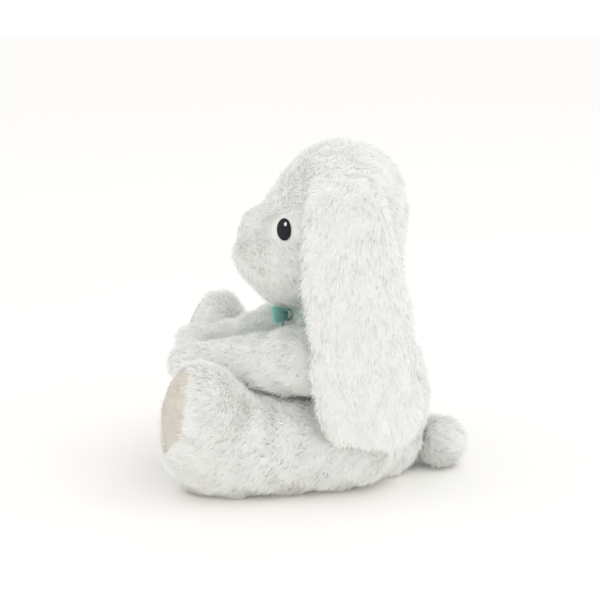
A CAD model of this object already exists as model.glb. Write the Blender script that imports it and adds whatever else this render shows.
"""Stuffed bunny rabbit: the looks of a seated plush toy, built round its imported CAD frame.

Every size is in metres, in the frame's own axes: +Z is up, the rabbit looks along -Y and its left is +X.
"""

import logging
import math
from collections.abc import Callable, Sequence
from dataclasses import dataclass, field
from enum import Enum

import bpy
import numpy as np
from mathutils import Matrix, Vector
from mathutils.bvhtree import BVHTree


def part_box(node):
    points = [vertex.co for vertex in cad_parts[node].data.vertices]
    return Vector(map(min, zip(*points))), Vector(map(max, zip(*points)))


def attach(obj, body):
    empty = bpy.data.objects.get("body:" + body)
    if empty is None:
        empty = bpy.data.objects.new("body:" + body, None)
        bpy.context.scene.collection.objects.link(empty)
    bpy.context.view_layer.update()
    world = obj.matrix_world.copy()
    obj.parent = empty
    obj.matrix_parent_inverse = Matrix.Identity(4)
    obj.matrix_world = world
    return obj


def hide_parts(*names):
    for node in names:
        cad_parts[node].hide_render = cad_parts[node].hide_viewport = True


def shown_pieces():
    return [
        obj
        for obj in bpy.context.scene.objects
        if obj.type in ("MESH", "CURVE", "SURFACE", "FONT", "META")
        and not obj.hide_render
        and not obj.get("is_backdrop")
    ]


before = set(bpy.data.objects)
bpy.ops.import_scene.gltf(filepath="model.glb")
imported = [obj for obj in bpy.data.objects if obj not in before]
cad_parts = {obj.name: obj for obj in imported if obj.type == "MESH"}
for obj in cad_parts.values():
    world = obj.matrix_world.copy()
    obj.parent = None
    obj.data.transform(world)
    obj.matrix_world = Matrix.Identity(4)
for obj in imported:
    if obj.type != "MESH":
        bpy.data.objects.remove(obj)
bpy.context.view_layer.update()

logging.basicConfig(level=logging.INFO, format="%(message)s")
log = logging.getLogger("bunny")

MM = 0.001
# Past this many strands, a coat is split into pieces, so that none is too heavy.
MAX_PIECE_STRANDS = 90000
# A draft grows this share of the strands.
SIMULATED_FRAMES = 20
# How far the lowest pile stays above the floor, and how unevenly.
FLOOR_CLEARANCE = 0.3 * MM
FLOOR_SCATTER = 0.4 * MM
# A strand's root is sunk this far into the skin.
ROOT_DEPTH = 0.4 * MM
# Sine waves in a soft noise, and what their sum is divided by.
NOISE_WAVES = 6
NOISE_RANGE = 2.6
# Shorter than this, a vector has no direction.
TINY = 1e-9


class Side(Enum):
    """The rabbit's own left or right, with the sign of X there."""

    LEFT = 1
    RIGHT = -1

    @property
    def word(self) -> str:
        """Gives the side's name in the names of nodes and pieces."""
        return self.name.lower()


# ---------------------------------------------------------------- materials


def linear(hex_colour: str) -> tuple[float, float, float, float]:
    """Turns an sRGB hex colour into the linear colour that shaders read.

    Args:
        hex_colour: six hexadecimal digits after a hash.

    Returns:
        Red, green, blue and an alpha of one.
    """
    parts = [int(hex_colour[i : i + 2], 16) / 255 for i in (1, 3, 5)]
    red, green, blue = (c / 12.92 if c <= 0.04045 else ((c + 0.055) / 1.055) ** 2.4 for c in parts)
    return (red, green, blue, 1.0)


def add_node(
    tree: bpy.types.NodeTree,
    kind: str,
    settings: dict[str, object] | None = None,
    inputs: dict[str | int, object] | None = None,
    stops: Sequence[tuple[float, str]] = (),
) -> bpy.types.Node:
    """Adds one shader node.

    Args:
        tree: the material's node tree.
        kind: the node's type, without the word ShaderNode.
        settings: the node's own properties.
        inputs: a value or another node's output socket for each input, by name or index.
        stops: on a colour ramp, each stop's place from 0 to 1 and its sRGB hex colour.

    Returns:
        The new node.
    """
    node = tree.nodes.new("ShaderNode" + kind)
    for name, value in (settings or {}).items():
        setattr(node, name, value)
    for key, value in (inputs or {}).items():
        if isinstance(value, bpy.types.NodeSocket):
            tree.links.new(value, node.inputs[key])
        else:
            node.inputs[key].default_value = value
    for k, (place, colour) in enumerate(stops):
        elements = node.color_ramp.elements
        stop = elements[k] if k < len(elements) else elements.new(1.0)
        stop.position, stop.color = place, linear(colour)
    return node


@dataclass(frozen=True)
class Finish:
    """A material. Each kind of finish adds its own nodes in surface()."""

    name: str

    def make(self) -> bpy.types.Material:
        """Builds the material, or returns the one already built.

        Returns:
            The Blender material.
        """
        found = bpy.data.materials.get(self.name)
        if found:
            return found
        material = bpy.data.materials.new(self.name)
        material.use_nodes = True
        tree = material.node_tree
        tree.nodes.clear()
        shader = self.surface(tree)
        output = add_node(tree, "OutputMaterial")
        tree.links.new(shader, output.inputs["Surface"])
        return material

    def surface(self, tree: bpy.types.NodeTree) -> bpy.types.NodeSocket:
        """Adds this finish's nodes.

        Args:
            tree: the material's empty node tree.

        Returns:
            The shader's output.
        """
        raise NotImplementedError


@dataclass(frozen=True)
class PlushPile(Finish):
    """Fine polyester pile: each fibre is paler at its tip, and tufts differ a little in tone."""

    root: str
    shade: str
    tip: str
    patch: float = 9 * MM

    def surface(self, tree: bpy.types.NodeTree) -> bpy.types.NodeSocket:
        """Adds the pile's nodes: tone along each fibre, times a soft patchiness.

        Args:
            tree: the material's empty node tree.

        Returns:
            The shader's output.
        """
        place = add_node(tree, "TexCoord").outputs["Object"]
        along = add_node(tree, "Attribute", {"attribute_name": "along"}).outputs["Fac"]
        patches = add_node(
            tree, "TexNoise", inputs={"Vector": place, "Scale": 1 / self.patch, "Detail": 2.0}
        ).outputs["Fac"]
        tone = add_node(
            tree, "ValToRGB", inputs={"Fac": along},
            stops=[(0.0, self.root), (0.55, self.shade), (1.0, self.tip)],
        ).outputs["Color"]
        cloudy = add_node(
            tree, "ValToRGB", inputs={"Fac": patches}, stops=[(0.3, "#f9faf9"), (0.7, "#ffffff")]
        ).outputs["Color"]
        colour = add_node(
            tree, "Mix", {"data_type": "RGBA", "blend_type": "MULTIPLY"},
            {"Factor": 1.0, 6: tone, 7: cloudy},
        ).outputs[2]
        lit = add_node(
            tree, "BsdfPrincipled",
            inputs={
                "Base Color": colour, "Roughness": 0.62, "IOR": 1.5,
                "Specular IOR Level": 0.2, "Sheen Weight": 0.2, "Sheen Roughness": 0.5,
            },
        ).outputs["BSDF"]
        through = add_node(tree, "BsdfTranslucent", inputs={"Color": colour}).outputs[0]
        behind = add_node(tree, "NewGeometry").outputs["Backfacing"]
        return add_node(tree, "MixShader", inputs={0: behind, 1: lit, 2: through}).outputs[0]


@dataclass(frozen=True)
class Cloth(Finish):
    """A cloth seen close up: a knitted or brushed ground with its own grain and a soft sheen."""

    dark: str
    light: str
    grain: float = 0.7 * MM
    relief: float = 0.15 * MM
    roughness: float = 0.85
    sheen: float = 0.4

    def surface(self, tree: bpy.types.NodeTree) -> bpy.types.NodeSocket:
        """Adds the cloth's nodes: fine grain for colour and relief, and broad soft wear.

        Args:
            tree: the material's empty node tree.

        Returns:
            The shader's output.
        """
        place = add_node(tree, "TexCoord").outputs["Object"]
        fine = add_node(
            tree, "TexNoise", inputs={"Vector": place, "Scale": 1 / self.grain, "Detail": 3.0}
        ).outputs["Fac"]
        broad = add_node(
            tree, "TexNoise", inputs={"Vector": place, "Scale": 1 / (14 * MM), "Detail": 2.0}
        ).outputs["Fac"]
        both = add_node(
            tree, "Math", {"operation": "MULTIPLY_ADD"}, {0: fine, 1: 0.45, 2: broad}
        ).outputs[0]
        colour = add_node(
            tree, "ValToRGB", inputs={"Fac": both}, stops=[(0.45, self.dark), (0.95, self.light)]
        ).outputs["Color"]
        bump = add_node(
            tree, "Bump", inputs={"Height": fine, "Distance": self.relief, "Strength": 0.8}
        ).outputs["Normal"]
        return add_node(
            tree, "BsdfPrincipled",
            inputs={
                "Base Color": colour, "Roughness": self.roughness, "Normal": bump,
                "IOR": 1.5, "Specular IOR Level": 0.2, "Sheen Weight": self.sheen,
            },
        ).outputs["BSDF"]


@dataclass(frozen=True)
class Satin(Finish):
    """Polyester satin or stitched thread: parallel yarns that catch the light along one line."""

    dark: str
    light: str
    yarn: float = 0.35 * MM
    direction: str = "X"
    roughness: float = 0.38

    def surface(self, tree: bpy.types.NodeTree) -> bpy.types.NodeSocket:
        """Adds the satin's nodes: yarn after yarn as bands, with a slight waver.

        Args:
            tree: the material's empty node tree.

        Returns:
            The shader's output.
        """
        place = add_node(tree, "TexCoord").outputs["Object"]
        yarns = add_node(
            tree, "TexWave", {"wave_type": "BANDS", "bands_direction": self.direction},
            {"Vector": place, "Scale": 0.32 / self.yarn, "Distortion": 1.2, "Detail": 2.0,
             "Detail Scale": 1.5},
        ).outputs["Fac"]
        colour = add_node(
            tree, "ValToRGB", inputs={"Fac": yarns}, stops=[(0.1, self.dark), (0.8, self.light)]
        ).outputs["Color"]
        bump = add_node(
            tree, "Bump", inputs={"Height": yarns, "Distance": 0.06 * MM, "Strength": 0.7}
        ).outputs["Normal"]
        return add_node(
            tree, "BsdfPrincipled",
            inputs={
                "Base Color": colour, "Roughness": self.roughness, "Normal": bump,
                "IOR": 1.54, "Sheen Weight": 0.3, "Specular IOR Level": 0.5,
            },
        ).outputs["BSDF"]


# Bright white plush: the eye reads it as soft because only the tips are fully white.
WHITE_PILE = PlushPile("white_pile", root="#f0f0ec", shade="#fafaf8", tip="#fffffe")
# The plush's knitted ground, seen only where the pile parts.
WHITE_GROUND = Cloth("white_ground", dark="#f0f0ed", light="#fbfbf9")
# Brushed cream velour on the soles: warm, flat and matt beside the white.
CREAM_PAD = Cloth("cream_velour", dark="#e8e1d5", light="#f3eee5", grain=0.9 * MM)
CREAM_NAP = PlushPile("cream_nap", root="#e5ddd0", shade="#eee8de", tip="#f5f1ea")
# Aqua velour inside the ears: it tints what lies beside it.
AQUA_GROUND = Cloth("aqua_ground", dark="#86bcb2", light="#a9d6cd")
AQUA_NAP = PlushPile("aqua_nap", root="#86bfb4", shade="#a6d8ce", tip="#bfe6df")
# Satin ribbon, with the light running along its yarns.
RIBBON = Satin("aqua_ribbon", dark="#96cbc3", light="#bee4de", yarn=0.4 * MM, direction="X")
RIBBON_EDGE = Satin("ribbon_edge", dark="#b0dad3", light="#cfeae5", yarn=0.3 * MM)
# Embroidery thread, in close rows of satin stitch: small bright lines along each row.
BLACK_THREAD = Satin("black_thread", dark="#0c0c0e", light="#26262a", direction="Z", roughness=0.42)
WHITE_THREAD = Satin("white_thread", dark="#e2e4e6", light="#fbfbfc", direction="Z", roughness=0.45)
GROUND_THREAD = Satin("ground_thread", dark="#dcdcd9", light="#eeeeeb", direction="Z", roughness=0.6)
PINK_THREAD = Satin("pink_thread", dark="#f3e5e2", light="#faf3f1", direction="X", roughness=0.45)
# What fills the toy: wadding, a cotton bag and its beads, all out of sight.
WADDING = Cloth("wadding", dark="#ececea", light="#fbfbf9", grain=2.5 * MM, relief=0.6 * MM)
COTTON = Cloth("cotton_bag_cloth", dark="#d9d0bd", light="#ece5d5", grain=0.5 * MM)
BEADS = Cloth("bead_plastic", dark="#d3d8db", light="#eef1f2", grain=3 * MM, roughness=0.4, sheen=0.0)


# ---------------------------------------------------------------- mesh work


def activate(piece: bpy.types.Object) -> None:
    """Makes one piece the only selected one, and active.

    Args:
        piece: the piece that the next operators work on.
    """
    if bpy.context.object and bpy.context.object.mode != "OBJECT":
        bpy.ops.object.mode_set(mode="OBJECT")
    bpy.ops.object.select_all(action="DESELECT")
    piece.select_set(True)
    bpy.context.view_layer.objects.active = piece


def edit(piece: bpy.types.Object, *steps: Callable[[], object]) -> None:
    """Runs edit-mode steps on the whole of a piece.

    Args:
        piece: the piece to change.
        steps: operators to run, in order, with everything selected first.
    """
    activate(piece)
    bpy.ops.object.mode_set(mode="EDIT")
    bpy.ops.mesh.select_all(action="SELECT")
    for step in steps:
        step()
    bpy.ops.object.mode_set(mode="OBJECT")


def apply_modifier(piece: bpy.types.Object, kind: str, **settings: object) -> None:
    """Adds a modifier, and applies it.

    Args:
        piece: the piece to change.
        kind: the modifier's type.
        settings: the modifier's own properties.
    """
    activate(piece)
    modifier = piece.modifiers.new(kind.lower(), kind)
    for name, value in settings.items():
        setattr(modifier, name, value)
    bpy.ops.object.modifier_apply(modifier=modifier.name)


def shade_smooth(piece: bpy.types.Object) -> None:
    """Smooths a piece's shading.

    Args:
        piece: the piece.
    """
    activate(piece)
    bpy.ops.object.shade_smooth()


def coordinates(piece: bpy.types.Object) -> np.ndarray:
    """Reads a mesh's vertices.

    Args:
        piece: the mesh piece.

    Returns:
        One row of X, Y and Z for each vertex.
    """
    values = np.empty(len(piece.data.vertices) * 3)
    piece.data.vertices.foreach_get("co", values)
    return values.reshape(-1, 3)


def move_vertices(piece: bpy.types.Object, places: np.ndarray) -> None:
    """Writes a mesh's vertices.

    Args:
        piece: the mesh piece.
        places: one row for each vertex.
    """
    piece.data.vertices.foreach_set("co", places.ravel())
    piece.data.update()


def copy_of_node(node: str, name: str) -> bpy.types.Object:
    """Starts a new piece from a CAD node's mesh. The node itself is left alone.

    Args:
        node: the CAD node.
        name: the new piece's name.

    Returns:
        The new piece, with no material.
    """
    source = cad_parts[node]
    piece = bpy.data.objects.new(name, source.data.copy())
    piece.data.name = name
    piece.data.materials.clear()
    bpy.context.scene.collection.objects.link(piece)
    return piece


def keep_largest_shell(piece: bpy.types.Object) -> None:
    """Removes every loose shell of a mesh but its largest, such as the hollow for a bag inside it.

    Args:
        piece: the piece to clean.
    """
    edit(piece, lambda: bpy.ops.mesh.separate(type="LOOSE"))
    shells = sorted(bpy.context.selected_objects, key=lambda shell: len(shell.data.vertices))
    piece.data = shells[-1].data
    for shell in shells:
        if shell is not piece:
            bpy.data.objects.remove(shell)


def tree_of(piece: bpy.types.Object) -> BVHTree:
    """Builds a search tree over a mesh.

    Args:
        piece: the mesh piece, with its place in its mesh.

    Returns:
        The tree.
    """
    mesh = piece.data
    return BVHTree.FromPolygons(
        [v.co for v in mesh.vertices], [tuple(p.vertices) for p in mesh.polygons]
    )


def depth_inside(tree: BVHTree, point: Sequence[float], reach: float = 0.08) -> float:
    """Measures how deep a point lies inside a closed mesh.

    Args:
        tree: the mesh's search tree.
        point: the point.
        reach: how far to look.

    Returns:
        The depth, or a negative number outside.
    """
    place, normal, _, distance = tree.find_nearest(Vector(point), reach)
    if place is None:
        return -reach
    return distance if (Vector(point) - place).dot(normal) < 0 else -distance


def soft_noise(places: np.ndarray, size: float, seed: int) -> np.ndarray:
    """Gives a smooth value between about -1 and 1 at each place.

    Args:
        places: one row for each place.
        size: how far apart high and low spots lie.
        seed: which of the possible patterns.

    Returns:
        One value for each place.
    """
    rng = np.random.default_rng(seed)
    total = np.zeros(len(places))
    for _ in range(NOISE_WAVES):
        wave = rng.normal(size=3)
        wave *= 2 * math.pi / (size * 2) / np.linalg.norm(wave) * rng.uniform(0.7, 1.4)
        total += np.sin(places @ wave + rng.uniform(0, 2 * math.pi))
    return total / NOISE_RANGE


# ---------------------------------------------------------------- stuffed skins


@dataclass
class StuffedSkin:
    """The cloth of one stuffed part, blown up from its filling as the real cover is.

    Attributes:
        name: the finished piece's name.
        source: the CAD node whose mesh the skin starts from.
        body: the body that it moves with.
        replaces: the CAD nodes that it stands for.
        grow: how far the cloth lies outside the source.
        voxel: the size of the faces before the last subdivision.
        cap: how far the pressure may push a point.
        fill: how tightly it is stuffed, from 0 to 1.
        dimple: the depth of the soft dents in the stuffing.
    """

    name: str
    source: str
    body: str
    replaces: tuple[str, ...]
    grow: float = 2.2 * MM
    voxel: float = 5 * MM
    cap: float = 2.5 * MM
    fill: float = 0.7
    dimple: float = 1.0 * MM
    piece: bpy.types.Object = field(init=False)
    before: np.ndarray = field(init=False)

    def build(self) -> None:
        """Makes the closed skin, ready for the simulation."""
        self.piece = copy_of_node(self.source, self.name)
        apply_modifier(self.piece, "REMESH", mode="VOXEL", voxel_size=self.voxel)
        keep_largest_shell(self.piece)
        edit(self.piece, lambda: bpy.ops.transform.shrink_fatten(value=self.grow))
        edit(self.piece, lambda: bpy.ops.mesh.vertices_smooth(factor=0.5, repeat=3))
        self.before = coordinates(self.piece)

    def add_pressure(self) -> None:
        """Adds the cloth simulation that the filling's pressure drives."""
        modifier = self.piece.modifiers.new("cloth", "CLOTH")
        settings = modifier.settings
        settings.quality = 4
        settings.mass = 0.3
        settings.use_pressure = True
        settings.uniform_pressure_force = 4.0
        settings.tension_stiffness = 15
        settings.compression_stiffness = 15
        settings.shear_stiffness = 5
        settings.effector_weights.gravity = 0.0
        modifier.collision_settings.use_collision = False

    def settle(self) -> None:
        """Keeps what the pressure did, within the cap, and finishes the skin's mesh."""
        if self.piece.modifiers:
            activate(self.piece)
            bpy.ops.object.modifier_apply(modifier="cloth")
            moved = coordinates(self.piece) - self.before
            far = np.linalg.norm(moved, axis=1, keepdims=True)
            moved *= np.minimum(1.0, self.cap / np.maximum(far, TINY))
            move_vertices(self.piece, self.before + moved)
        edit(self.piece, lambda: bpy.ops.mesh.vertices_smooth(factor=0.5, repeat=2))
        apply_modifier(self.piece, "SUBSURF", levels=1, render_levels=1)
        places = coordinates(self.piece)
        normals = np.array([v.normal for v in self.piece.data.vertices])
        seed = sum(map(ord, self.source))
        places += normals * (self.dimple * soft_noise(places, 22 * MM, seed) - 0.3 * self.dimple)[:, None]
        places[:, 2] = np.maximum(places[:, 2], 0.0)
        move_vertices(self.piece, places)
        shade_smooth(self.piece)
        self.piece.data.materials.append(WHITE_GROUND.make())
        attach(self.piece, self.body)
        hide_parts(*self.replaces)


# ---------------------------------------------------------------- pile


@dataclass(frozen=True)
class Spot:
    """A soft-edged oval region where the pile is shorter or longer.

    Attributes:
        centre: its middle.
        radii: its half sizes along X, Y and Z.
        scale: the pile's length there, against the length elsewhere.
    """

    centre: tuple[float, float, float]
    radii: tuple[float, float, float]
    scale: float

    def factor(self, places: np.ndarray) -> np.ndarray:
        """Works out the pile's length at some places.

        Args:
            places: one row for each place.

        Returns:
            A factor for each place.
        """
        away = np.linalg.norm((places - self.centre) / self.radii, axis=1)
        edge = np.clip((away - 0.8) / 0.4, 0, 1)
        return self.scale + (1 - self.scale) * edge * edge * (3 - 2 * edge)


@dataclass(frozen=True)
class Pile:
    """How a plush cloth's pile grows.

    Attributes:
        length: a fibre tuft's length.
        width: its width at the middle.
        density: how many grow on a square metre.
        lift: how far it stands up from the cloth, in degrees.
        tuft: how far apart the clumps are.
        gather: how much the tips draw together into clumps, from 0 to 1.
        relief: how much each strand shades by itself, from 0 to 1.
        swirl: how far the brushed direction wanders from patch to patch.
        scatter: how far it varies from strand to strand.
        uneven: how much the strands' lengths and lifts vary.
        rise: how much more a strand's lower half stands up, in radians.
        fall: how much more its upper half lies down, in radians.
        roll: how far each strand is turned about itself, in radians.
    """

    length: float = 9 * MM
    width: float = 0.58 * MM
    density: float = 2.35 / MM**2
    lift: float = 48.0
    tuft: float = 4.5 * MM
    gather: float = 0.35
    relief: float = 0.18
    swirl: float = 0.35
    scatter: float = 0.28
    uneven: float = 0.16
    rise: float = 0.25
    fall: float = 0.35
    roll: float = 0.6


@dataclass
class Coat:
    """The pile on one skin, as curved strands in one or more pieces.

    Attributes:
        name: the start of the pieces' names.
        skin: the piece that it grows on.
        body: the body that it moves with.
        pile: how it grows.
        finish: its material.
        flow: gives the direction that the pile is brushed in at each place.
        spots: where it is shorter or longer.
        bare: gives true where a face has no pile.
        seed: which of the possible coats.
    """

    name: str
    skin: bpy.types.Object
    body: str
    pile: Pile
    finish: Finish
    flow: Callable[[np.ndarray, np.ndarray], np.ndarray]
    spots: Sequence[Spot] = ()
    bare: Callable[[np.ndarray, np.ndarray], np.ndarray] | None = None
    seed: int = 1

    def build(self) -> list[bpy.types.Object]:
        """Grows the coat.

        Returns:
            The new pieces.
        """
        rng = np.random.default_rng(self.seed)
        roots, normals = self._roots(rng)
        bends = self._bends(rng, roots, normals)
        order = np.argsort(roots[:, 1], kind="stable")
        count = max(1, math.ceil(len(roots) / MAX_PIECE_STRANDS))
        made = []
        for k, part in enumerate(np.array_split(order, count)):
            name = self.name if count == 1 else f"{self.name}_{k + 1}"
            made.append(self._strands(name, roots[part], [b[part] for b in bends]))
        log.info("%s: %d strands in %d piece(s)", self.name, len(roots), count)
        return made

    def _roots(self, rng: np.random.Generator) -> tuple[np.ndarray, np.ndarray]:
        """Scatters the roots evenly over the skin.

        Args:
            rng: the coat's own random numbers.

        Returns:
            The roots' places and the skin's normals there.
        """
        mesh = self.skin.data
        mesh.calc_loop_triangles()
        corners = np.empty(len(mesh.loop_triangles) * 3, np.int32)
        mesh.loop_triangles.foreach_get("vertices", corners)
        corners = corners.reshape(-1, 3)
        places = coordinates(self.skin)
        vertex_normals = np.empty(len(mesh.vertices) * 3)
        mesh.vertices.foreach_get("normal", vertex_normals)
        vertex_normals = vertex_normals.reshape(-1, 3)
        a, b, c = (places[corners[:, k]] for k in range(3))
        cross = np.cross(b - a, c - a)
        areas = np.linalg.norm(cross, axis=1) / 2
        middles = (a + b + c) / 3
        if self.bare is not None:
            areas = areas * ~self.bare(middles, cross / np.maximum(areas * 2, 1e-12)[:, None])
        wanted = int(areas.sum() * self.pile.density * (1.0))
        chosen = rng.choice(len(areas), size=wanted, p=areas / areas.sum())
        u, v = rng.random(wanted), rng.random(wanted)
        flip = u + v > 1
        u[flip], v[flip] = 1 - u[flip], 1 - v[flip]
        w = 1 - u - v
        weights = np.stack([w, u, v], 1)
        roots = np.einsum("nk,nkd->nd", weights, places[corners[chosen]])
        normals = np.einsum("nk,nkd->nd", weights, vertex_normals[corners[chosen]])
        return roots, normals / np.linalg.norm(normals, axis=1, keepdims=True)

    def _bends(
        self, rng: np.random.Generator, roots: np.ndarray, normals: np.ndarray
    ) -> list[np.ndarray]:
        """Works out each strand's middle and tip, and its width as a vector.

        Args:
            rng: the coat's own random numbers.
            roots: where the strands start.
            normals: the skin's normals there.

        Returns:
            The middles, the tips and the half widths.
        """
        pile = self.pile
        flow = self.flow(roots, normals)
        turn = soft_noise(roots, 16 * MM, self.seed)[:, None]
        swirl = np.cross(normals, flow)
        flow = flow + pile.swirl * turn * swirl + rng.normal(scale=pile.scatter, size=roots.shape)
        flow -= normals * np.einsum("nd,nd->n", flow, normals)[:, None]
        flow /= np.maximum(np.linalg.norm(flow, axis=1, keepdims=True), TINY)
        length = pile.length * rng.normal(1.0, pile.uneven, len(roots)).clip(0.5, 1.5)
        for spot in self.spots:
            length = length * spot.factor(roots)
        length = (length * (1 + pile.uneven * soft_noise(roots, 9 * MM, self.seed + 1)))[:, None]
        lift = np.radians(pile.lift + 9 * soft_noise(roots, 12 * MM, self.seed + 2))
        lift = (lift + rng.normal(scale=pile.uneven, size=len(roots)))[:, None]
        first = normals * np.sin(lift + pile.rise) + flow * np.cos(lift + pile.rise)
        second = normals * np.sin(lift - pile.fall) + flow * np.cos(lift - pile.fall)
        middles = roots + 0.5 * length * first
        tips = middles + 0.5 * length * second
        cells = np.floor(roots / pile.tuft + rng.normal(scale=0.22, size=roots.shape))
        keys = cells @ np.array([73.0, 179.0, 283.0]) + self.seed
        jitter = np.stack([np.modf(np.abs(np.sin(keys * k) * 4375.5))[0] for k in (1.3, 2.1, 3.7)], 1)
        centres = (cells + 0.5 + (jitter - 0.5) * 0.7) * pile.tuft
        drawn = centres - roots
        drawn -= normals * np.einsum("nd,nd->n", drawn, normals)[:, None]
        share = np.minimum(1.0, length / (6 * MM))
        middles += drawn * pile.gather * 0.35 * share
        tips += drawn * pile.gather * share
        for points in (middles, tips):
            low = points[:, 2] < FLOOR_CLEARANCE
            points[low, 2] = FLOOR_CLEARANCE + FLOOR_SCATTER * rng.random(low.sum())
        stem = tips - roots
        stem /= np.maximum(np.linalg.norm(stem, axis=1, keepdims=True), TINY)
        broad = np.cross(stem, normals)
        broad /= np.maximum(np.linalg.norm(broad, axis=1, keepdims=True), TINY)
        roll = rng.normal(scale=pile.roll, size=(len(roots), 1))
        sideways = broad * np.cos(roll) + np.cross(stem, broad) * np.sin(roll)
        half = sideways * (pile.width / 2) * rng.uniform(0.7, 1.2, len(roots))[:, None]
        return [middles, tips, half, normals]

    def _soft_normals(
        self, roots: np.ndarray, tips: np.ndarray, half: np.ndarray, normals: np.ndarray
    ) -> np.ndarray:
        """Turns each strand's shading mostly to the skin's own, so that the pile shades as one.

        Args:
            roots: where the strands start.
            tips: where they end.
            half: their half widths.
            normals: the skin's normals.

        Returns:
            A normal for each of the strands' four points.
        """
        faces = np.cross(half, tips - roots)
        faces /= np.maximum(np.linalg.norm(faces, axis=1, keepdims=True), 1e-12)
        soft = normals * (1 - self.pile.relief) + faces * self.pile.relief
        soft /= np.maximum(np.linalg.norm(soft, axis=1, keepdims=True), TINY)
        return np.repeat(soft, 4, axis=0)

    def _strands(
        self, name: str, roots: np.ndarray, bends: list[np.ndarray]
    ) -> bpy.types.Object:
        """Makes one piece of curved strands, pointed at both ends.

        Args:
            name: the piece's name.
            roots: where its strands start.
            bends: their middles, tips, half widths and skin normals.

        Returns:
            The piece.
        """
        middles, tips, half, normals = bends
        starts = roots - normals * ROOT_DEPTH
        starts[:, 2] = np.maximum(starts[:, 2], FLOOR_CLEARANCE)
        places = np.stack([starts, middles + half, middles - half, tips], 1).reshape(-1, 3)
        first = np.arange(len(roots), dtype=np.int32)[:, None] * 4
        faces = [first + [0, 1, 2], first + [2, 1, 3]]
        corners = np.stack(faces, 1).reshape(-1, 3).astype(np.int32)
        mesh = bpy.data.meshes.new(name)
        mesh.vertices.add(len(places))
        mesh.vertices.foreach_set("co", places.ravel())
        mesh.loops.add(corners.size)
        mesh.loops.foreach_set("vertex_index", corners.ravel())
        mesh.polygons.add(len(corners))
        mesh.polygons.foreach_set("loop_start", np.arange(0, corners.size, 3, dtype=np.int32))
        mesh.update(calc_edges=True)
        along = mesh.attributes.new("along", "FLOAT", "POINT")
        along.data.foreach_set("value", np.tile([0.0, 0.5, 0.5, 1.0], len(roots)))
        piece = bpy.data.objects.new(name, mesh)
        bpy.context.scene.collection.objects.link(piece)
        mesh.materials.append(self.finish.make())
        mesh.polygons.foreach_set("use_smooth", np.ones(len(corners), bool))
        mesh.normals_split_custom_set_from_vertices(self._soft_normals(roots, tips, half, normals))
        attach(piece, self.body)
        return piece


@dataclass(frozen=True)
class Flow:
    """The way that a coat is brushed: away from one point, and along one direction.

    Attributes:
        source: the point that the pile is brushed away from.
        along: the direction that it is also brushed in.
        spread: the first one's strength against the second's.
    """

    source: tuple[float, float, float]
    along: tuple[float, float, float]
    spread: float = 1.0

    def __call__(self, places: np.ndarray, normals: np.ndarray) -> np.ndarray:
        """Gives the brushed direction at some places.

        Args:
            places: one row for each place.
            normals: the skin's normals there.

        Returns:
            One direction along the skin for each place.
        """
        away = places - np.array(self.source)
        away /= np.maximum(np.linalg.norm(away, axis=1, keepdims=True), TINY)
        flow = away * self.spread + np.array(self.along)
        flow -= normals * np.einsum("nd,nd->n", flow, normals)[:, None]
        return flow / np.maximum(np.linalg.norm(flow, axis=1, keepdims=True), TINY)


@dataclass
class Covered:
    """Tells which faces lie against another piece, where there is no room for pile.

    Attributes:
        others: the neighbouring pieces.
        gap: how near a neighbour has to be.
    """

    others: Sequence[bpy.types.Object]
    gap: float = 3 * MM

    def __call__(self, middles: np.ndarray, normals: np.ndarray) -> np.ndarray:
        """Tests some faces.

        Args:
            middles: the faces' middles.
            normals: their normals.

        Returns:
            True for each covered face.
        """
        covered = np.zeros(len(middles), bool)
        for other in self.others:
            tree = tree_of(other)
            places = coordinates(other)
            low, high = places.min(0) - self.gap, places.max(0) + self.gap
            near = np.flatnonzero(((middles > low) & (middles < high)).all(1) & ~covered)
            for k in near:
                depth = depth_inside(tree, middles[k])
                covered[k] = depth > -self.gap
        return covered


# ---------------------------------------------------------------- stitching


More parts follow.
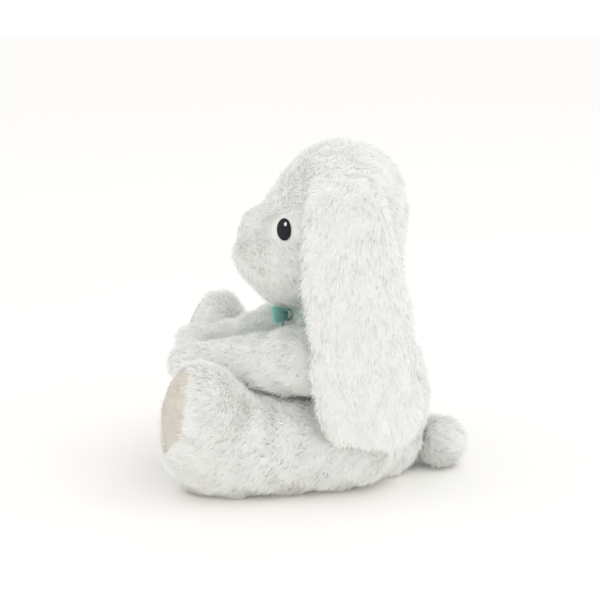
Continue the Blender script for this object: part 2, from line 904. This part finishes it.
@dataclass
class Embroidery:
    """A domed patch of satin stitch that follows the skin under it.

    Attributes:
        name: the piece's name.
        skin: the skin that it is stitched on.
        centre: a point near the skin, at the patch's middle.
        facing: the direction that it faces.
        half_width: half its width.
        half_height: half its height.
        dome: how far its middle stands above the skin.
        finish: its thread.
        tilt: how far it turns about its facing direction, in degrees.
        egg: how much narrower its top is than its foot, from 0 to 1.
        point: how far its foot draws in to a point, from 0 to 1.
        lift: how far its whole rim stands above the skin.
    """

    name: str
    skin: bpy.types.Object
    centre: Vector
    facing: Vector
    half_width: float
    half_height: float
    dome: float
    finish: Finish
    tilt: float = 0.0
    egg: float = 0.0
    point: float = 0.0
    lift: float = 0.0

    def build(self, body: str, *nodes: str) -> bpy.types.Object:
        """Makes the patch and sews it on.

        Args:
            body: the body that it moves with.
            nodes: the CAD nodes that it stands for.

        Returns:
            The new piece.
        """
        bpy.ops.mesh.primitive_uv_sphere_add(segments=48, ring_count=24, radius=1.0)
        piece = bpy.context.object
        piece.name = piece.data.name = self.name
        tree = tree_of(self.skin)
        forward = self.facing.normalized()
        right = forward.cross(Vector((0, 0, 1))).normalized()
        up = right.cross(forward)
        turn = Matrix.Rotation(math.radians(self.tilt), 3, forward)
        right, up = turn @ right, turn @ up
        for vertex in piece.data.vertices:
            x, y, z = vertex.co
            x *= 1 - self.egg * (z + 0.3) * 0.5
            x *= 1 - self.point * max(0.0, -z) ** 1.5
            across = right * (x * self.half_width) + up * (z * self.half_height)
            start = self.centre + across + forward * 0.03
            place, normal, _, _ = tree.ray_cast(start, -forward, 0.09)
            if place is None:
                place, normal, _, _ = tree.find_nearest(start)
            height = -y * self.dome if y < 0 else -y * 0.8 * MM
            vertex.co = place + normal * (height + self.lift)
        piece.data.update()
        edit(piece, lambda: bpy.ops.mesh.normals_make_consistent(inside=False))
        shade_smooth(piece)
        piece.data.materials.append(self.finish.make())
        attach(piece, body)
        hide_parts(*nodes)
        return piece


# ---------------------------------------------------------------- ribbon


@dataclass
class RibbonStrip:
    """A strip of satin ribbon that follows a path, with its two edges woven paler.

    Attributes:
        name: the piece's name.
        path: gives the middle line's place at each share of its length.
        across: gives the half width there as a vector.
        flat: the width and length that it was cut to.
        closed: true where the strip is a ring.
        steps: the number of steps along it.
        crease: the depth of the gathers across it.
    """

    name: str
    path: Callable[[float], Vector]
    across: Callable[[float], Vector]
    flat: tuple[float, float]
    closed: bool = False
    steps: int = 60
    crease: Callable[[float, float], Vector] | None = None

    def build(self, body: str, held: str, rests_on: Sequence[str], *nodes: str) -> bpy.types.Object:
        """Makes the strip.

        Args:
            body: the body that it moves with.
            rests_on: what it lies on.
            nodes: the CAD nodes that it stands for.

        Returns:
            The new piece.
        """
        columns = 12
        bpy.ops.mesh.primitive_grid_add(
            x_subdivisions=self.steps, y_subdivisions=columns, size=2.0, calc_uvs=True
        )
        piece = bpy.context.object
        piece.name = piece.data.name = self.name
        for vertex in piece.data.vertices:
            along, side = (vertex.co.x + 1) / 2, vertex.co.y
            place = self.path(along) + self.across(along) * side
            if self.crease:
                place += self.crease(along, side)
            vertex.co = place
        piece.data.update()
        for face in piece.data.polygons:
            side = sum(piece.data.uv_layers[0].data[k].uv.y for k in face.loop_indices)
            side /= len(face.loop_indices)
            face.material_index = int(side < 1 / columns or side > 1 - 1 / columns)
        if self.closed:
            edit(piece, lambda: bpy.ops.mesh.remove_doubles(threshold=0.05 * MM))
        piece.data.materials.append(RIBBON.make())
        piece.data.materials.append(RIBBON_EDGE.make())
        apply_modifier(piece, "SOLIDIFY", thickness=0.35 * MM, offset=0.0)
        apply_modifier(piece, "SUBSURF", levels=1, render_levels=1)
        edit(piece, lambda: bpy.ops.mesh.normals_make_consistent(inside=False))
        shade_smooth(piece)
        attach(piece, body)
        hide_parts(*nodes)
        return piece


# ---------------------------------------------------------------- the toy's parts


def middle_of(node: str) -> Vector:
    """Finds a CAD node's middle.

    Args:
        node: the CAD node.

    Returns:
        The middle of its box.
    """
    low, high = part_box(node)
    return (low + high) / 2


@dataclass
class Head:
    """The head: its stuffed skin, eyes, nose and mouth, and its pile.

    Attributes:
        length: the pile's length, shorter than elsewhere.
        nose_size: half the nose's width and height.
        line: half the width of a stitched line.
        eye_tilt: how far the eyes lean, in degrees.
        eye_width: an eye's width against its height.
    """

    skin: StuffedSkin = field(default_factory=lambda: StuffedSkin(
        "head_skin", "head_stuffing", "head", ("head_cover",), grow=1.3 * MM, voxel=4 * MM, dimple=0.5 * MM
    ))
    length: float = 7 * MM
    nose_size: tuple[float, float] = (7 * MM, 4.6 * MM)
    line: float = 0.7 * MM
    eye_tilt: float = 20.0
    eye_width: float = 0.72

    def dress(self) -> None:
        """Stitches the face on the finished skin."""
        skin = self.skin.piece
        for side in Side:
            self._eye(skin, side)
        nose = middle_of("nose")
        Embroidery(
            "nose_patch", skin, nose, Vector((0, -1, 0.15)), *self.nose_size, 0.9 * MM,
            PINK_THREAD, point=0.75, lift=0.2 * MM,
        ).build("head", "nose")
        mouth = middle_of("mouth_stitching")
        low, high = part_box("mouth_stitching")
        Embroidery(
            "mouth_line", skin, mouth + Vector((0, 0, 2 * MM)), Vector((0, -1, 0)), self.line,
            (high.z - low.z) * 0.36, 0.9 * MM, PINK_THREAD, lift=0.5 * MM,
        ).build("head", "mouth_stitching")
        for side in Side:
            Embroidery(
                f"mouth_{side.word}", skin,
                mouth + Vector((5.2 * MM * side.value, 0, -5.5 * MM)), Vector((0, -1, -0.1)),
                self.line, 6 * MM, 0.9 * MM, PINK_THREAD, tilt=58.0 * side.value, lift=0.5 * MM,
            ).build("head", "mouth_stitching")

    def _eye(self, skin: bpy.types.Object, side: Side) -> None:
        """Stitches one eye: its white ground, the black egg, and the glint.

        Args:
            skin: the head's skin.
            side: which eye.
        """
        word = side.word
        low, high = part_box(f"{word}_eye_pupil")
        centre = (low + high) / 2
        place, normal, _, _ = tree_of(skin).find_nearest(centre)
        facing = Vector((normal.x, normal.y, normal.z * 0.3)).normalized()
        height = (high.z - low.z) / 2
        Embroidery(
            f"{word}_eye_ground", skin, place, facing, height * 0.84, height * 1.1, 0.4 * MM,
            GROUND_THREAD, tilt=self.eye_tilt * side.value, egg=0.1,
        ).build("head", f"{word}_eye_white")
        Embroidery(
            f"{word}_eye", skin, place, facing, height * self.eye_width, height, 2.4 * MM,
            BLACK_THREAD, tilt=self.eye_tilt * side.value, egg=-0.12, lift=0.5 * MM,
        ).build("head", f"{word}_eye_pupil")
        glint = place + Vector((0, -facing.x * side.value * -2.4 * MM, 4.2 * MM))
        Embroidery(
            f"{word}_eye_spark", skin, glint, facing, 1.5 * MM, 2.2 * MM, 2.9 * MM,
            WHITE_THREAD, tilt=12.0 * side.value, lift=0.5 * MM,
        ).build("head", f"{word}_eye_glint")

    def coat(self, neighbours: Sequence[bpy.types.Object]) -> None:
        """Grows the head's pile.

        Args:
            neighbours: the pieces that may lie against the head.
        """
        nose = middle_of("nose")
        spots = [Spot(tuple(nose + Vector((0, 10 * MM, 10 * MM))), (0.030, 0.026, 0.022), 0.35),
                 Spot(tuple(nose), (0.013, 0.012, 0.010), 0.25)]
        for side in Side:
            eye = middle_of(f"{side.word}_eye_pupil")
            spots.append(Spot(tuple(eye), (0.020, 0.012, 0.014), 0.22))
            spots.append(Spot(tuple(eye + Vector((0, -20 * MM, 2 * MM))), (0.020, 0.020, 0.016), 0.45))
        Coat(
            "head_pile", self.skin.piece, "head", Pile(length=self.length), WHITE_PILE,
            Flow(tuple(nose + Vector((0, -10 * MM, 0))), (0, 0.15, -0.35)),
            spots=spots, bare=Covered(neighbours), seed=11,
        ).build()


@dataclass
class Torso:
    """The trunk: its stuffed skin and pile."""

    skin: StuffedSkin = field(default_factory=lambda: StuffedSkin(
        "torso_skin", "torso_stuffing", "torso", ("torso_cover",), grow=3.2 * MM, fill=0.6
    ))

    def coat(self, neighbours: Sequence[bpy.types.Object]) -> None:
        """Grows the trunk's pile.

        Args:
            neighbours: the pieces that may lie against the trunk.
        """
        top = middle_of("neck_ribbon")
        Coat(
            "torso_pile", self.skin.piece, "torso", Pile(), WHITE_PILE,
            Flow(tuple(top), (0, 0, -0.8), 0.5), bare=Covered(neighbours), seed=12,
        ).build()


@dataclass
class Limb:
    """An arm: its stuffed skin and pile, brushed towards the hand."""

    side: Side
    skin: StuffedSkin = field(init=False)

    def __post_init__(self) -> None:
        """Sets up the skin for this side."""
        word = self.side.word
        self.skin = StuffedSkin(
            f"{word}_arm_skin", f"{word}_arm_stuffing", f"{word}_arm", (f"{word}_arm_cover",),
            fill=0.6,
        )

    def coat(self, neighbours: Sequence[bpy.types.Object]) -> None:
        """Grows the arm's pile.

        Args:
            neighbours: the pieces that may lie against the arm.
        """
        word = self.side.word
        Coat(
            f"{word}_arm_pile", self.skin.piece, f"{word}_arm", Pile(length=8 * MM), WHITE_PILE,
            Flow((0, 0.05, 0.12), (0, -1, -0.55), 0.2), bare=Covered(neighbours),
            seed=20 + self.side.value,
        ).build()


@dataclass
class Leg:
    """A leg with its foot: a stuffed skin, the velour sole, and pile that hangs over its rim.

    Attributes:
        side: which leg.
        sole_yaw: how far the sole turns outwards, in degrees.
        sole_pitch: how far it turns up, in degrees.
        sole_thickness: the velour and its backing.
        overhang: how far the leg's pile grows past the sole's rim.
    """

    side: Side
    sole_yaw: float = 20.0
    sole_pitch: float = 9.0
    sole_thickness: float = 2.0 * MM
    overhang: float = 3 * MM
    skin: StuffedSkin = field(init=False)
    plane_point: Vector = field(init=False)
    plane_normal: Vector = field(init=False)
    pad: bpy.types.Object = field(init=False)

    def __post_init__(self) -> None:
        """Sets up the skin for this side."""
        word = self.side.word
        self.skin = StuffedSkin(
            f"{word}_leg_skin", f"{word}_leg_stuffing", f"{word}_leg", (f"{word}_leg_cover",),
        )

    def dress(self) -> None:
        """Cuts the sole from a copy of the skin, where the CAD's own pad ends."""
        word = self.side.word
        yaw, pitch = math.radians(self.sole_yaw), math.radians(self.sole_pitch)
        normal = Vector((math.sin(yaw) * self.side.value, -math.cos(yaw), 0)) * math.cos(pitch)
        normal.z = math.sin(pitch)
        self.plane_normal = normal
        inner = min(v.co.dot(normal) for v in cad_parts[f"{word}_foot_pad"].data.vertices)
        self.plane_point = normal * inner
        pad = self.skin.piece.copy()
        pad.data = self.skin.piece.data.copy()
        pad.name = pad.data.name = f"{word}_foot_sole"
        for key in list(pad.keys()):
            del pad[key]
        pad.parent = None
        bpy.context.scene.collection.objects.link(pad)
        pad.data.materials.clear()
        edit(
            pad,
            lambda: bpy.ops.mesh.bisect(
                plane_co=self.plane_point, plane_no=normal, clear_inner=True, clear_outer=False
            ),
        )
        apply_modifier(pad, "SOLIDIFY", thickness=self.sole_thickness, offset=0.4)
        pad.data.materials.append(CREAM_PAD.make())
        shade_smooth(pad)
        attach(pad, f"{word}_leg")
        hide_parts(f"{word}_foot_pad")
        self.pad = pad

    def beyond_plane(self, middles: np.ndarray) -> np.ndarray:
        """Measures how far some places lie on the sole's side of its rim.

        Args:
            middles: one row for each place.

        Returns:
            How far each lies beyond the sole's rim.
        """
        return (middles - np.array(self.plane_point)) @ np.array(self.plane_normal)

    def coat(self, neighbours: Sequence[bpy.types.Object]) -> None:
        """Grows the leg's pile, and the sole's short nap.

        Args:
            neighbours: the pieces that may lie against the leg.
        """
        word = self.side.word
        covered = Covered(neighbours)
        Coat(
            f"{word}_leg_pile", self.skin.piece, f"{word}_leg", Pile(), WHITE_PILE,
            Flow((0, 0.06, 0.09), (0, -0.9, -0.35), 0.4),
            bare=lambda m, n: covered(m, n) | (self.beyond_plane(m) > self.overhang),
            seed=30 + self.side.value,
        ).build()
        Coat(
            f"{word}_foot_nap", self.pad, f"{word}_leg",
            Pile(length=1.6 * MM, width=0.4 * MM, density=2.5 / MM**2, lift=55, gather=0.1),
            CREAM_NAP, Flow((0, 0.06, 0.09), (0, 0, -1), 0.2),
            bare=lambda m, n: n @ np.array(self.plane_normal) < 0.1, seed=40 + self.side.value,
        ).build()


@dataclass
class Ear:
    """A lop ear: a flat stuffed skin, its velour lining, and long pile combed down.

    Attributes:
        side: which ear.
        lining_drop: how far below the ear's top the lining starts.
    """

    side: Side
    lining_drop: float = 16 * MM
    skin: StuffedSkin = field(init=False)
    lining: bpy.types.Object = field(init=False)

    def __post_init__(self) -> None:
        """Sets up the skin for this side."""
        word = self.side.word
        self.skin = StuffedSkin(
            f"{word}_ear_skin", f"{word}_ear_plush", f"{word}_ear", (f"{word}_ear_plush",),
            grow=0.4 * MM, voxel=2.2 * MM, cap=1.2 * MM, fill=0.3, dimple=1.2 * MM,
        )

    def dress(self) -> None:
        """Makes the lining from the CAD's own."""
        word = self.side.word
        lining = copy_of_node(f"{word}_ear_lining", f"{word}_ear_velour")
        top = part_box(f"{word}_ear_plush")[1].z - self.lining_drop
        apply_modifier(lining, "REMESH", mode="VOXEL", voxel_size=1.3 * MM)
        edit(
            lining,
            lambda: bpy.ops.mesh.bisect(
                plane_co=(0, 0, top), plane_no=(0, 0, 1), clear_outer=True, use_fill=True
            ),
        )
        edit(lining, lambda: bpy.ops.mesh.vertices_smooth(factor=0.5, repeat=4))
        lining.data.materials.append(AQUA_GROUND.make())
        shade_smooth(lining)
        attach(lining, f"{word}_ear")
        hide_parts(f"{word}_ear_lining")
        self.lining = lining

    def coat(self, neighbours: Sequence[bpy.types.Object]) -> None:
        """Grows the ear's pile, and the lining's.

        Args:
            neighbours: the pieces that may lie against the ear.
        """
        word = self.side.word
        low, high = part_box(f"{word}_ear_plush")
        top = Vector(((low.x + high.x) / 2, (low.y + high.y) / 2, high.z))
        lined = Covered([self.lining], gap=2.5 * MM)
        Coat(
            f"{word}_ear_pile", self.skin.piece, f"{word}_ear",
            Pile(length=9.5 * MM, density=2.6 / MM**2, lift=34), WHITE_PILE,
            Flow(tuple(top), (0, 0, -1.2), 0.7), bare=lined, seed=50 + self.side.value,
        ).build()
        Coat(
            f"{word}_ear_nap", self.lining, f"{word}_ear",
            Pile(length=3 * MM, width=0.45 * MM, density=1.6 / MM**2, lift=40, gather=0.2),
            AQUA_NAP, Flow(tuple(top), (0, 0, -1), 0.2),
            bare=Covered([self.skin.piece], gap=1.0 * MM), seed=60 + self.side.value,
        ).build()


@dataclass
class Tail:
    """The round tail, with long pile that stands out all round."""

    skin: StuffedSkin = field(default_factory=lambda: StuffedSkin(
        "tail_skin", "tail_stuffing", "tail", ("tail_cover",), voxel=4 * MM, dimple=0.6 * MM
    ))

    def coat(self, neighbours: Sequence[bpy.types.Object]) -> None:
        """Grows the tail's pile.

        Args:
            neighbours: the pieces that may lie against the tail.
        """
        low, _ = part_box("tail_cover")
        centre = middle_of("tail_cover")
        Coat(
            "tail_pile", self.skin.piece, "tail",
            Pile(length=9 * MM, lift=48, gather=0.2, relief=0.1), WHITE_PILE,
            Flow((centre.x, low.y, centre.z), (0, 0.2, -0.4)), bare=Covered(neighbours), seed=70,
        ).build()


@dataclass
class Bow:
    """The ribbon round the neck, with a bow of two loops, a knot and two short tails.

    Attributes:
        ribbon_width: the ribbon's width.
        loop_width: how wide a loop opens at its end.
        pinch: half a loop's width where the knot gathers it, and how far it starts from the middle.
        bulge: how far a loop's two layers stand apart.
        droop: how far a loop's end leans forward and up.
    """

    ribbon_width: float = 11 * MM
    loop_width: float = 17 * MM
    pinch: tuple[float, float] = (2.4 * MM, 2 * MM)
    bulge: float = 3.2 * MM
    droop: Vector = field(default_factory=lambda: Vector((0, -11 * MM, 6 * MM)))

    def build(self) -> None:
        """Makes every ribbon piece."""
        self._ring()
        knot = middle_of("bow_knot")
        for side in Side:
            self._loop(side, knot)
            self._tail(side, knot)
        self._knot(knot)

    def _ring(self) -> None:
        """Ties the ribbon round the neck."""
        low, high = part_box("neck_ribbon")
        middle = (low + high) / 2
        radius = (high.x - low.x) / 2 + 1.5 * MM
        half = self.ribbon_width / 2
        RibbonStrip(
            "neck_band",
            lambda s: middle + Vector((math.cos(s * math.tau), math.sin(s * math.tau), 0)) * radius,
            lambda s: Vector((0, 0, half)),
            (self.ribbon_width, radius * math.tau), closed=True, steps=120,
        ).build("torso", "laid", ["torso_skin"], "neck_ribbon")

    def _loop(self, side: Side, knot: Vector) -> None:
        """Folds one loop: out from the knot, round, and back behind itself.

        Args:
            side: which loop.
            knot: the knot's middle.
        """
        low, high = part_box(f"bow_{side.word}_loop")
        reach = max(abs(low.x), abs(high.x))
        length = 2.2 * reach
        narrow, start = self.pinch

        def path(s: float) -> Vector:
            """Goes out, round the loop's end, and back."""
            out = math.sin(math.pi * s) ** 0.85
            bulge = math.sin(math.tau * s) * self.bulge
            along = side.value * (start + (reach - start) * out)
            return knot + self.droop * out + Vector((along, -bulge, 0))

        def across(s: float) -> Vector:
            """Widens from the knot to the loop's end."""
            half = narrow + (self.loop_width / 2 - narrow) * math.sin(math.pi * s) ** 0.6
            return Vector((0, -1.2 * MM * math.sin(math.pi * s), half))

        def crease(s: float, side_share: float) -> Vector:
            """Gathers the ribbon where it enters the knot."""
            tight = (1 - math.sin(math.pi * s)) ** 2
            return Vector((0, 1.1 * MM * tight * math.cos(side_share * 7.0), 0))

        RibbonStrip(
            f"bow_loop_{side.word}", path, across, (self.loop_width * 0.85, length), steps=72,
            crease=crease,
        ).build("torso", "folded", ["neck_band"], f"bow_{side.word}_loop")

    def _tail(self, side: Side, knot: Vector) -> None:
        """Hangs one tail from the knot.

        Args:
            side: which tail.
            knot: the knot's middle.
        """
        low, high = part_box(f"bow_{side.word}_tail")
        start = self.pinch[1]
        far = max(abs(low.x), abs(high.x)) - 3 * MM
        fall = knot.z - low.z
        half = self.ribbon_width / 2

        def path(s: float) -> Vector:
            """Falls from the knot and swings outwards."""
            wave = -2.0 * MM * math.sin(s * math.pi * 1.2)
            along = side.value * (start + (far - start) * s ** 0.8)
            return Vector((along, low.y + wave, knot.z - fall * s))

        def across(s: float) -> Vector:
            """Opens to the ribbon's width below the knot."""
            wide = half * min(1.0, 0.35 + 1.8 * s)
            return Vector((wide * 0.9, -0.6 * MM, side.value * wide * 0.3))

        RibbonStrip(
            f"bow_end_{side.word}", path, across, (self.ribbon_width, fall * 1.1), steps=24,
        ).build("torso", "hung", ["bow_wrap"], f"bow_{side.word}_tail")

    def _knot(self, knot: Vector) -> None:
        """Wraps the knot.

        Args:
            knot: its middle.
        """
        low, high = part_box("bow_knot")
        radius = (high.z - low.z) / 2
        half = (high.x - low.x) / 2 + 0.6 * MM

        def path(s: float) -> Vector:
            """Goes once round the knot."""
            turn = s * math.tau
            return knot + Vector((0, math.cos(turn) * radius * 1.05, math.sin(turn) * radius * 1.1))

        RibbonStrip(
            "bow_wrap", path, lambda s: Vector((half, 0, 0)), (self.ribbon_width, radius * math.tau),
            closed=True, steps=40,
            crease=lambda s, t: Vector((0, 0, 0.4 * MM * math.cos(t * 9))),
        ).build("torso", "folded", ["neck_band"], "bow_knot")


# ---------------------------------------------------------------- studio


@dataclass
class Studio:
    """A white table top under broad soft light, and the camera.

    Attributes:
        distance: from the camera to what it looks at.
        elevation: how far the camera looks down, in degrees.
        lens: its focal length in millimetres.
        sky: the even light's strength.
        seen_sky: the sky's strength where the camera sees it.
        aim: what the camera and the lamps face.
    """

    distance: float = 1.5
    elevation: float = 14.0
    lens: float = 104.0
    sky: float = 0.98
    seen_sky: float = 1.1
    aim: Vector = field(default_factory=lambda: Vector((0.0, -0.010, 0.150)))

    def build(self) -> None:
        """Sets the floor, the light and the camera."""
        bpy.ops.mesh.primitive_plane_add(size=8.0, location=(0, 0, -0.1 * MM))
        floor = bpy.context.object
        floor.name = "studio_floor"
        floor.data.materials.append(self._paper())
        floor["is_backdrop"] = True
        self._sky()
        self._lamp("key", Vector((0.5, 1.0, 1.8)), size=1.3, power=5.0, colour="#ffffff")
        self._lamp("fill", Vector((1.5, -0.5, 0.6)), size=1.4, power=0.8, colour="#fff6ea")
        self._camera()
        bpy.context.scene.view_settings.view_transform = "Standard"
        bpy.context.scene.view_settings.exposure = 0.0

    def _paper(self) -> bpy.types.Material:
        """Makes the floor's plain white.

        Returns:
            The material.
        """
        material = bpy.data.materials.new("studio_paper")
        material.use_nodes = True
        tree = material.node_tree
        tree.nodes.clear()
        shader = add_node(
            tree, "BsdfDiffuse", inputs={"Color": linear("#fffdfa"), "Roughness": 0.0}
        ).outputs[0]
        tree.links.new(shader, add_node(tree, "OutputMaterial").inputs["Surface"])
        return material

    def _sky(self) -> None:
        """Lights everything evenly from all round."""
        world = bpy.data.worlds.new("studio_sky")
        world.use_nodes = True
        tree = world.node_tree
        seen = add_node(tree, "LightPath").outputs["Is Camera Ray"]
        strength = add_node(
            tree, "MapRange", inputs={"Value": seen, "To Min": self.sky, "To Max": self.seen_sky}
        ).outputs[0]
        background = tree.nodes["Background"]
        background.inputs["Color"].default_value = linear("#ffffff")
        tree.links.new(strength, background.inputs["Strength"])
        bpy.context.scene.world = world

    def _lamp(self, name: str, place: Vector, size: float, power: float, colour: str) -> None:
        """Hangs one soft box that faces the toy.

        Args:
            name: the lamp's name.
            place: where it hangs.
            size: its side.
            power: its power in watts.
            colour: its colour.
        """
        data = bpy.data.lights.new(name, "AREA")
        data.shape, data.size, data.energy = "SQUARE", size, power
        data.color = linear(colour)[:3]
        lamp = bpy.data.objects.new(name, data)
        lamp.location = place
        lamp.rotation_euler = (self.aim - place).to_track_quat("-Z", "Y").to_euler()
        bpy.context.scene.collection.objects.link(lamp)

    def _camera(self) -> None:
        """Sets the camera to the rabbit's left, a little above it."""
        rise = math.radians(self.elevation)
        back = Vector((math.cos(rise), 0.0, math.sin(rise)))
        data = bpy.data.cameras.new("camera")
        data.lens = self.lens
        data.dof.use_dof = False
        camera = bpy.data.objects.new("camera", data)
        camera.location = self.aim + back * self.distance
        camera.rotation_euler = (-back).to_track_quat("-Z", "Y").to_euler()
        bpy.context.scene.collection.objects.link(camera)
        bpy.context.scene.camera = camera


# ---------------------------------------------------------------- the whole


@dataclass
class Bunny:
    """The whole toy."""

    head: Head = field(default_factory=Head)
    torso: Torso = field(default_factory=Torso)
    tail: Tail = field(default_factory=Tail)
    bow: Bow = field(default_factory=Bow)
    arms: list[Limb] = field(default_factory=lambda: [Limb(side) for side in Side])
    legs: list[Leg] = field(default_factory=lambda: [Leg(side) for side in Side])
    ears: list[Ear] = field(default_factory=lambda: [Ear(side) for side in Side])

    def parts(self) -> list[object]:
        """Lists the parts that have a stuffed skin.

        Returns:
            The parts.
        """
        return [self.head, self.torso, self.tail, *self.arms, *self.legs, *self.ears]

    def build(self) -> None:
        """Makes every piece of the toy."""
        for part in self.parts():
            part.skin.build()
        self._inflate()
        for part in self.parts():
            part.skin.settle()
        self.head.dress()
        for part in (*self.legs, *self.ears):
            part.dress()
        self.bow.build()
        self._fill()
        skins = {id(part): part.skin.piece for part in self.parts()}
        for part in self.parts():
            part.coat([piece for key, piece in skins.items() if key != id(part)])

    def _inflate(self) -> None:
        """Runs the cloth simulation on every skin at once."""
        for part in self.parts():
            part.skin.add_pressure()
        scene = bpy.context.scene
        for number in range(1, SIMULATED_FRAMES + 1):
            scene.frame_set(number)
        for part in self.parts():
            part.skin.piece.data.update()

    def _fill(self) -> None:
        """Finishes what is inside the toy: the CAD's own stuffing, bag and beads."""
        for name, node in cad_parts.items():
            if name.endswith("stuffing"):
                finish = WADDING
            elif name == "pellet_bag":
                finish = COTTON
            elif name == "pellet_fill":
                finish = BEADS
            else:
                continue
            node.data.materials.clear()
            node.data.materials.append(finish.make())
            for face in node.data.polygons:
                face.material_index = 0


def main() -> None:
    """Builds the toy and its studio, and notes the sizes before and after."""
    Bunny().build()
    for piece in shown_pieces():
        log.info("%s: %d faces", piece.name, len(piece.data.polygons))
    Studio().build()


if __name__ == "__main__":
    main()
